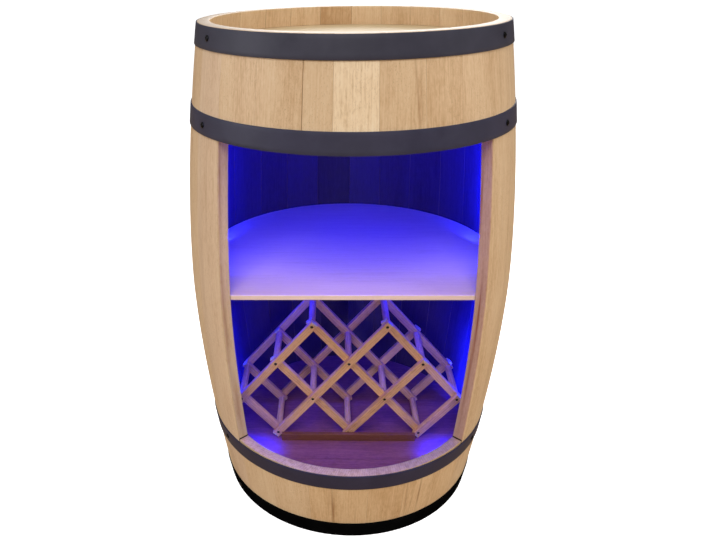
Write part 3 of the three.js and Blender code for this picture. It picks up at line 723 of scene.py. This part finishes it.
boards("top_head_boards", TOP_HEAD_Z, [-0.152, -0.078, 0.004, 0.083, 0.155], BEECH_HEAD, "top_head", 3.1, [0.1, -0.2, 0.15, -0.1, 0.2, 0.0])
boards("bottom_head_boards", FLOOR_Z, [-0.128, -0.052, 0.031, 0.112, 0.171], BEECH_FLOOR_PAINTED_SHADE, "bottom_head", 8.4, [0.3, -0.2, 0.4, 0.0, 0.5, 0.2])


# ------------------------------------------------------------------------ shelf
def extruded(name, outline, z0, z1, chamfer, mat, node, grain, tone=0.0, body="cabinet"):
    """An outline of (x, y) with chamfered upper and lower edges."""
    s = Shape()
    pts = [Vector(p) for p in outline]
    n = len(pts)
    area = sum(pts[i].x * pts[(i + 1) % n].y - pts[(i + 1) % n].x * pts[i].y for i in range(n))
    if area < 0:
        pts.reverse()
    inward = []
    for i in range(n):
        a, b, c = pts[i - 1], pts[i], pts[(i + 1) % n]
        e1, e2 = (b - a).normalized(), (c - b).normalized()
        n1, n2 = Vector((-e1.y, e1.x)), Vector((-e2.y, e2.x))
        d = n1 + n2
        inward.append(d / max(0.3, d.length_squared / 2) if d.length > 1e-6 else n1)
    rings = []
    for z, k in ((z0, 1.0), (z0 + chamfer * 0.3, 0.3), (z0 + chamfer, 0.0), (z1 - chamfer, 0.0), (z1 - chamfer * 0.3, 0.3), (z1, 1.0)):
        rings.append([s.vert((*(p + d * chamfer * k), z), grain(p.x, p.y, z), tone) for p, d in zip(pts, inward)])
    for p, q in zip(rings, rings[1:]):
        for k in range(n):
            j = (k + 1) % n
            s.face((p[k], p[j], q[j], q[k]))
    s.face(tuple(reversed(rings[0])))
    s.face(tuple(rings[-1]))
    return s.object(name, [mat], 18.0, body, node)


def shelf_outline():
    r = inner(SHELF_TOP) - 0.0006
    notch, half = 0.0044, 1.7
    start = math.degrees(math.acos(-SHELF_FRONT / r))
    pts = []

    def put(rr, deg):
        p = polar(rr, math.radians(deg), 0)
        pts.append((p.x, p.y))

    put(r, start)
    for rr, d in ((r, STRIP_AZ - half), (r - notch, STRIP_AZ - half), (r - notch, STRIP_AZ + half), (r, STRIP_AZ + half)):
        put(rr, d)
    first, last, count = STRIP_AZ + half, 360 - STRIP_AZ - half, 120
    for i in range(1, count):
        put(r, first + (last - first) * i / count)
    for rr, d in ((r, last), (r - notch, last), (r - notch, 360 - STRIP_AZ + half), (r, 360 - STRIP_AZ + half), (r, 360 - start)):
        put(rr, d)
    return pts


extruded("shelf_board", shelf_outline(), SHELF_TOP - SHELF_T, SHELF_TOP, 0.0009, BEECH_SHELF, "shelf",
         lambda x, y, z: (y + 12.3, z - SHELF_TOP, x + 4.4))

for word, centre in (("right", 95), ("left", 265)):
    s = Shape()
    z1 = SHELF_TOP - SHELF_T - 0.0003
    z0 = z1 - 0.015
    e = 0.001
    prof = []
    rw, rn = inner(z1) - 0.0004, inner(z1) - 0.0148
    prof = [(inner(z0) - 0.0004, z0), (rw, z1), (rn + e, z1), (rn + e * 0.3, z1 - e * 0.3), (rn, z1 - e),
            (rn, z0 + 0.006), (rn + e, z0 + 0.003), (rn + 0.0045, z0)]
    k = len(prof)
    N = 30
    for i in range(N + 1):
        a = math.radians(centre - 15 + 30 * i / N)
        pull = 0.0008 if i in (0, N) else 0.0
        for r, z in prof:
            s.vert(polar(r, a, z), (r, z, a * 0.24 + 5), 0.3)
    for i in range(N):
        for j in range(k):
            l = (j + 1) % k
            s.face((i * k + j, i * k + l, (i + 1) * k + l, (i + 1) * k + j))
    s.face(tuple(range(k)))
    s.face(tuple(N * k + j for j in range(k)))
    s.object(f"shelf_cleat_{word}_wood", [BEECH_FLOOR_PAINTED_SHADE], 18.0, "cabinet", f"shelf_cleat_{word}")


# ----------------------------------------------------------------------- lights
def led_strip(word, side):
    """Flexible tape with a diode every 16.7 mm, stuck to the curved inside."""
    s = Shape()
    z0, z1, half = 0.092, 0.744, 0.005
    a = side * math.radians(STRIP_AZ)
    out = Vector((math.sin(a), -math.cos(a), 0))
    across = Vector((math.cos(a), math.sin(a), 0))
    centre = Vector((0, CY, 0))
    n = 80
    prof = [(-half, 0.0), (-half, 0.0005), (-half + 0.0006, 0.0011), (half - 0.0006, 0.0011), (half, 0.0005), (half, 0.0)]
    k = len(prof)
    for i in range(n + 1):
        z = z0 + (z1 - z0) * i / n
        base = centre + out * (inner(z) - 0.0003) + Vector((0, 0, z))
        for u, h in prof:
            s.vert(base + across * u - out * h)
    for i in range(n):
        for j in range(k):
            l = (j + 1) % k
            s.face((i * k + j, i * k + l, (i + 1) * k + l, (i + 1) * k + j))
    s.face(tuple(range(k)))
    s.face(tuple(n * k + j for j in range(k)))
    count = int((z1 - z0) / 0.0167)
    for i in range(count):
        z = z0 + 0.009 + i * 0.0167
        if SHELF_TOP - SHELF_T - 0.003 < z < SHELF_TOP + 0.003:
            continue
        tilt = math.atan(slope(z))
        up = (Vector((0, 0, 1)) * math.cos(tilt) + out * math.sin(tilt)).normalized()
        nrm = -(out - up * out.dot(up)).normalized()
        base = centre + out * (inner(z) - 0.0013) + Vector((0, 0, z))
        b = 0.0025
        rows = [(b, 0.0, 0), (b, 0.0010, 0), (b * 0.86, 0.0014, 0), (b * 0.72, 0.00115, 1)]
        prev = None
        for w, h, _ in rows:
            ring = [s.vert(base + across * (w * x) + up * (w * y) + nrm * h) for x, y in ((-1, -1), (1, -1), (1, 1), (-1, 1))]
            if prev:
                for j in range(4):
                    l = (j + 1) % 4
                    s.face((prev[j], prev[l], ring[l], ring[j]), 0)
            else:
                s.face(tuple(reversed(ring)), 0)
            prev = ring
        s.face(tuple(prev), 1)
    return s.object(f"led_strip_{word}_tape", [TAPE, DIODE], 18.0, "cabinet", f"led_strip_{word}")


led_strip("right", 1)
led_strip("left", -1)


def rounded_rect(cx, cy, w, d, r, n=8):
    pts = []
    for sx, sy, a0 in ((1, 1, 0), (-1, 1, 90), (-1, -1, 180), (1, -1, 270)):
        for i in range(n + 1):
            a = math.radians(a0 + 90 * i / n)
            pts.append((cx + sx * (w / 2 - r) + r * math.cos(a), cy + sy * (d / 2 - r) + r * math.sin(a)))
    return pts


top = SHELF_TOP - SHELF_T - 0.0003
extruded("led_controller_case", rounded_rect(0, 0.165 + CY, 0.080, 0.036, 0.004), top - 0.012, top, 0.0012, PLASTIC,
         "led_controller", lambda x, y, z: (x, y, z))


def grommet():
    s = Shape()
    m = wall_frame(171.7, 0.104)
    prof = [(0.0038, -0.019), (0.0076, -0.019), (0.0076, 0.0001), (0.0108, 0.0001), (0.0113, 0.0006), (0.0115, 0.0012), (0.0112, 0.0018),
            (0.0104, 0.0023), (0.0096, 0.0024), (0.0056, 0.0024), (0.0046, 0.0021), (0.0040, 0.0014)]
    sides, k = 64, len(prof)
    for i in range(sides):
        t = 2 * math.pi * i / sides
        for r, h in prof:
            s.vert(m @ Vector((r * math.cos(t), r * math.sin(t), h)))
    for i in range(sides):
        for j in range(k):
            l = (j + 1) % k
            q = (i + 1) % sides
            s.face((i * k + j, i * k + l, q * k + l, q * k + j))
    return s.object("cable_grommet_ring", [RUBBER], 40.0, "cabinet", "cable_grommet")


grommet()


# ---------------------------------------------------------------- folding rack
def pivot(i, j):
    return Vector((i * CELL_X, CY, RACK_Z0 + j * CELL_Z))


def bar(s, p, q, y0, y1, holes, seed, tone, hole_r):
    """One rack bar from beyond p to beyond q, with its pivot holes, as quads round
    each hole. Local u runs along the bar and w across it, in the lattice's plane."""
    along = (q - p)
    length = along.length
    along.normalize()
    across = Vector((-along.z, 0, along.x))
    half, e = BAR_W / 2, 0.0007
    u0, u1 = -BAR_END, length + BAR_END
    spots = sorted((h - p).dot(along) for h in holes)
    edges = [u0] + [(spots[i] + spots[i + 1]) / 2 for i in range(len(spots) - 1)] + [u1]
    # each hole owns a block between two cuts; a block is a ring from the hole to its border
    N = 32
    faces = []
    cells = []
    for c, (a, b) in zip(spots, zip(edges, edges[1:])):
        cells.append((c, a, b))

    def at(u, w, y):
        pt = p + along * u + across * w
        return (pt.x, y, pt.z), (w + seed * 0.31, y + seed * 0.07, u + seed * 0.9)

    def border(c, a, b, inset):
        """N points on the block's border seen from the hole, corners among them."""
        lo, hi = a + (inset if a == u0 else 0), b - (inset if b == u1 else 0)
        h = half - inset
        pts = []
        for k in range(N):
            t = 2 * math.pi * k / N + math.pi / N
            dx, dy = math.cos(t), math.sin(t)
            pts.append([dx, dy])
        res = []
        per = N // 4
        # walk the four sides with a fixed number of points each, so that rings match
        corners = [(hi, -h), (hi, h), (lo, h), (lo, -h)]
        for sd in range(4):
            x0, y0_ = corners[sd]
            x1, y1_ = corners[(sd + 1) % 4]
            for k in range(per):
                t = k / per
                res.append((x0 + (x1 - x0) * t, y0_ + (y1_ - y0_) * t))
        return res

    for c, a, b in cells:
        layers = []
        # from the front face's hole edge outwards, over the edge, and back to the hole at the rear
        circle = []
        for k in range(N):
            t = -math.pi / 4 + 2 * math.pi * k / N
            circle.append((math.cos(t), math.sin(t)))

        def ring_hole(r, y):
            return [s.vert(*at(c + r * x, r * w_, y), tone) for x, w_ in circle]

        def ring_border(inset, y):
            out = []
            for i, (u, w_) in enumerate(border(c, a, b, inset)):
                side, k = divmod(i, N // 4)
                end = k > 0 and ((side == 0 and b == u1) or (side == 2 and a == u0))
                out.append(s.vert(*at(u, w_, y), tone, (1.0 if end else 0.0, 0.0, 0.0)))
            return out

        layers = [ring_hole(hole_r, (y0 + y1) / 2), ring_hole(hole_r, y0 + 0.0003), ring_hole(hole_r + 0.0003, y0),
                  ring_border(e, y0), ring_border(e * 0.3, y0 + e * 0.3), ring_border(0, y0 + e), ring_border(0, y1 - e),
                  ring_border(e * 0.3, y1 - e * 0.3), ring_border(e, y1), ring_hole(hole_r + 0.0003, y1),
                  ring_hole(hole_r, y1 - 0.0003)]
        per = N // 4
        for li in range(len(layers)):
            P, Q = layers[li], layers[(li + 1) % len(layers)]
            for k in range(N):
                j = (k + 1) % N
                # the cut between two blocks is inside the bar, so it gets no face
                side = k // per
                inside_cut = 3 <= li <= 7 and ((side == 0 and b != u1) or (side == 2 and a != u0))
                if not inside_cut:
                    s.face((P[k], P[j], Q[j], Q[k]))


def rod(s, at_pt, r, y0, y1, seed, sides=36, mat=0, end=0.0004, end_mat=None):
    rings = []
    ends = [(r - end, y0), (r, y0 + end), (r, y1 - end), (r - end, y1)]
    for rr, y in ends:
        rings.append([s.vert((at_pt.x + rr * math.cos(t), y, at_pt.z + rr * math.sin(t)),
                             (rr * math.cos(t) + seed, rr * math.sin(t), y + seed * 1.1), 0.1)
                      for t in [2 * math.pi * k / sides for k in range(sides)]])
    for p, q in zip(rings, rings[1:]):
        for k in range(sides):
            j = (k + 1) % sides
            s.face((p[k], p[j], q[j], q[k]), mat)
    em = mat if end_mat is None else end_mat
    s.face(tuple(rings[0]), em)
    s.face(tuple(reversed(rings[-1])), em)


MEMBERS = {
    "rack_rise_1": ("rise", [(-3, 1), (-2, 2), (-1, 3)], [(-1, 3), (-3, 1)]),
    "rack_rise_2": ("rise", [(-2, 0), (-1, 1), (0, 2), (1, 3)], [(0, 2)]),
    "rack_rise_3": ("rise", [(0, 0), (1, 1), (2, 2)], [(0, 0), (2, 2)]),
    "rack_rise_4": ("rise", [(2, 0), (3, 1)], [(2, 0)]),
    "rack_fall_1": ("fall", [(-2, 0), (-3, 1)], [(-2, 0)]),
    "rack_fall_2": ("fall", [(0, 0), (-1, 1), (-2, 2)], [(-1, 1), (-2, 2)]),
    "rack_fall_3": ("fall", [(2, 0), (1, 1), (0, 2), (-1, 3)], [(1, 1)]),
    "rack_fall_4": ("fall", [(3, 1), (2, 2), (1, 3)], [(1, 3), (3, 1)]),
}
for n, (name, (kind, nodes, owned)) in enumerate(MEMBERS.items()):
    s = Shape()
    pts = [pivot(*ij) for ij in nodes]
    if kind == "rise":
        layers = [(RACK_FRONT, RACK_FRONT + BAR_D), (RACK_BACK - BAR_D, RACK_BACK)]
    else:
        layers = [(RACK_FRONT + LAYER, RACK_FRONT + LAYER + BAR_D), (RACK_BACK - LAYER - BAR_D, RACK_BACK - LAYER)]
    for m, (y0, y1) in enumerate(layers):
        bar(s, pts[0].copy(), pts[-1].copy(), y0 + CY, y1 + CY, pts, n * 2 + m + 1, [0.2, -0.3, 0.4, 0.0][(n + m) % 4], 0.0029)
    a, b = RACK_FRONT + LAYER + BAR_D, RACK_BACK - LAYER - BAR_D
    for ij in owned:
        at_pt = pivot(*ij)
        gap = 0.0003 if kind == "rise" else -0.0002
        rod(s, at_pt, 0.006, a + gap + CY, b - gap + CY, n + 3, 40)
        rod(s, at_pt, 0.00265, RACK_FRONT + 0.0012 + CY, a + 0.002 + CY, n + 5, 28, 1)
        rod(s, at_pt, 0.00265, b - 0.002 + CY, RACK_BACK - 0.0012 + CY, n + 6, 28, 1)
    ob = s.object(name + "_bars", [BEECH_RACK, PIN], 30.0, name, name)
    bm = bmesh.new()
    bm.from_mesh(ob.data)
    bmesh.ops.remove_doubles(bm, verts=bm.verts, dist=2e-6)
    bmesh.ops.recalc_face_normals(bm, faces=bm.faces)
    bm.to_mesh(ob.data)
    bm.free()
    ob.data.set_sharp_from_angle(angle=math.radians(18))

x0, x1, y0, y1 = -0.122, 0.122, -0.075 + CY, -0.067 + CY
extruded("rack_stop_strip_wood", [(x0, y0), (x1, y0), (x1, y1), (x0, y1)], FLOOR_Z + 0.0001, FLOOR_Z + 0.0143, 0.0009, BEECH_STRIP_PAINTED_SHADE,
         "rack_stop_strip", lambda x, y, z: (y + 3, z, x + 7), 0.3)

# --------------------------------------------------------------- floor and light
def plane(name, size, mat, z=0.0):
    me = bpy.data.meshes.new(name)
    me.from_pydata([(-size, -size, z), (size, -size, z), (size, size, z), (-size, size, z)], [], [(0, 1, 2, 3)])
    me.materials.append(mat)
    ob = bpy.data.objects.new(name, me)
    bpy.context.scene.collection.objects.link(ob)
    return ob


# the pale floor takes the barrel's soft shadow, but throws no light back up at it
ground = Look("studio_floor")
ground.set(Base_Color=(0.93, 0.93, 0.93, 1), Roughness=0.9)
ground.shader.inputs["Specular IOR Level"].default_value = 0.0
ground.shader.inputs["Emission Color"].default_value = (1, 1, 1, 1)
ground.shader.inputs["Emission Strength"].default_value = 0.72
floor = plane("studio_floor", 45.0, ground.mat, -0.0002)
floor.visible_diffuse = False
floor.visible_glossy = False
floor.visible_shadow = False

# a soft dome, brighter overhead and dim and warm below the horizon
world = bpy.data.worlds.new("studio")
bpy.context.scene.world = world
world.use_nodes = True
wt = world.node_tree
wt.nodes.clear()
w_out = wt.nodes.new("ShaderNodeOutputWorld")
w_mix = wt.nodes.new("ShaderNodeMixShader")
w_dome = wt.nodes.new("ShaderNodeBackground")
w_seen = wt.nodes.new("ShaderNodeBackground")
w_path = wt.nodes.new("ShaderNodeLightPath")
w_dir = wt.nodes.new("ShaderNodeTexCoord")
w_split = wt.nodes.new("ShaderNodeSeparateXYZ")
w_ramp = wt.nodes.new("ShaderNodeValToRGB")
w_span = wt.nodes.new("ShaderNodeMapRange")
w_span.inputs["From Min"].default_value = -1.0
w_span.inputs["From Max"].default_value = 1.0
wt.links.new(w_dir.outputs["Generated"], w_split.inputs[0])
wt.links.new(w_split.outputs["Z"], w_span.inputs["Value"])
wt.links.new(w_span.outputs["Result"], w_ramp.inputs["Fac"])
DOME = [(0.0, (0.55, 0.36, 0.20)), (0.40, (0.36, 0.25, 0.145)), (0.5, (0.07, 0.065, 0.065)), (0.62, (0.11, 0.11, 0.12)),
        (0.8, (0.38, 0.38, 0.39)), (1.0, (0.70, 0.71, 0.73))]
els = w_ramp.color_ramp.elements
while len(els) < len(DOME):
    els.new(0.5)
for el, (at, col) in zip(els, DOME):
    el.position = at
    el.color = (*col, 1)
wt.links.new(w_ramp.outputs["Color"], w_dome.inputs["Color"])
w_dome.inputs["Strength"].default_value = 1.0
w_seen.inputs["Color"].default_value = (1, 1, 1, 1)
w_seen.inputs["Strength"].default_value = 1.0
wt.links.new(w_path.outputs["Is Camera Ray"], w_mix.inputs[0])
wt.links.new(w_dome.outputs[0], w_mix.inputs[1])
wt.links.new(w_seen.outputs[0], w_mix.inputs[2])
wt.links.new(w_mix.outputs[0], w_out.inputs["Surface"])


def area(name, place, target, size, power, colour=(1, 1, 1), size_y=None, seen=True):
    data = bpy.data.lights.new(name, "AREA")
    data.energy = power
    data.color = colour
    data.shape = "RECTANGLE" if size_y else "SQUARE"
    data.size = size
    if size_y:
        data.size_y = size_y
    ob = bpy.data.objects.new(name, data)
    bpy.context.scene.collection.objects.link(ob)
    ob.location = place
    ob.rotation_euler = (Vector(target) - Vector(place)).to_track_quat("-Z", "Y").to_euler()
    ob.visible_camera = seen
    return ob


area("key_soft", (-0.30, -2.05, 2.75), (0, -0.1, 0.5), 1.4, 41, (1.0, 0.995, 0.98), seen=False)
area("side_soft_left", (-2.3, -0.75, 1.1), (0, 0, 0.36), 1.1, 15, (0.97, 0.99, 1.06), seen=False)
right = area("side_soft_right", (2.3, -0.75, 1.1), (0, 0, 0.36), 1.1, 22, (1.0, 0.98, 0.97), seen=False)
right.visible_glossy = False
front = area("low_front", (0.0, -1.7, 0.55), (0, -0.1, 0.20), 0.35, 0.24, (1.0, 0.95, 0.86), seen=False)
front.data.spread = math.radians(36)
area("back_soft", (0.3, 2.4, 1.7), (0, 0, 0.42), 1.6, 36, (1.0, 0.985, 0.97), seen=False)

BLUE = (0.006, 0.012, 1.0)
area("shelf_glow", (0, 0.0, 0.742), (0, 0.0001, 0.42), 0.25, 2.3, BLUE, 0.25, seen=False)
for side in (-1, 1):
    word = "right" if side > 0 else "left"
    # the strips' own light, and what the side walls beside them throw back
    for z_lo, z_hi, power in ((0.100, 0.255, 0.22), (0.265, 0.405, 0.08), (0.435, 0.585, 0.35), (0.590, 0.738, 0.35)):
        z = (z_lo + z_hi) / 2
        p = polar(inner(z) - 0.004, side * math.radians(74), z)
        area(f"led_{word}_{int(z * 1000)}", p, (-0.12 * side, 0.12, z), 0.006, power, BLUE, z_hi - z_lo, seen=False)
        p = polar(inner(z) - 0.030, side * math.radians(103), z)
        area(f"wash_{word}_{int(z * 1000)}", p, (side * 0.6, p.y + 0.25, z), 0.006, power * 2.6, BLUE, z_hi - z_lo, seen=False)
    low = area(f"floor_glow_{word}", (0.172 * side, -0.118, 0.128), (0.176 * side, -0.122, 0.078), 0.03, 0.42, BLUE, 0.06, seen=False)
    low.data.spread = math.radians(110)
    area(f"rack_glow_{word}", (0.13 * side, 0.0, 0.408), (0.10 * side, 0.02, 0.10), 0.08, 0.75, BLUE, 0.10, seen=False)

# ------------------------------------------------------------------------ camera
cam = bpy.data.cameras.new("camera")
eye = bpy.data.objects.new("camera", cam)
bpy.context.scene.collection.objects.link(eye)
forward = Vector((-0.031634, 0.895954, -0.443018))
right = Vector((0.9995, 0.028383, -0.013969))
up = Vector((-0.000058, 0.443239, 0.896404))
spot = Vector((-0.031086, -1.079153 + CY, 0.887179))
eye.matrix_world = Matrix(((right.x, up.x, -forward.x, spot.x), (right.y, up.y, -forward.y, spot.y),
                           (right.z, up.z, -forward.z, spot.z), (0, 0, 0, 1)))
cam.sensor_width = 36.0
cam.lens = 682.986 / 716 * 36.0
cam.shift_x = (358 - 309.703) / 716
cam.shift_y = (288.515 - 270) / 716
cam.clip_start, cam.clip_end = 0.02, 60.0
bpy.context.scene.camera = eye
bpy.context.scene.view_settings.view_transform = "Standard"
bpy.context.scene.view_settings.look = "None"
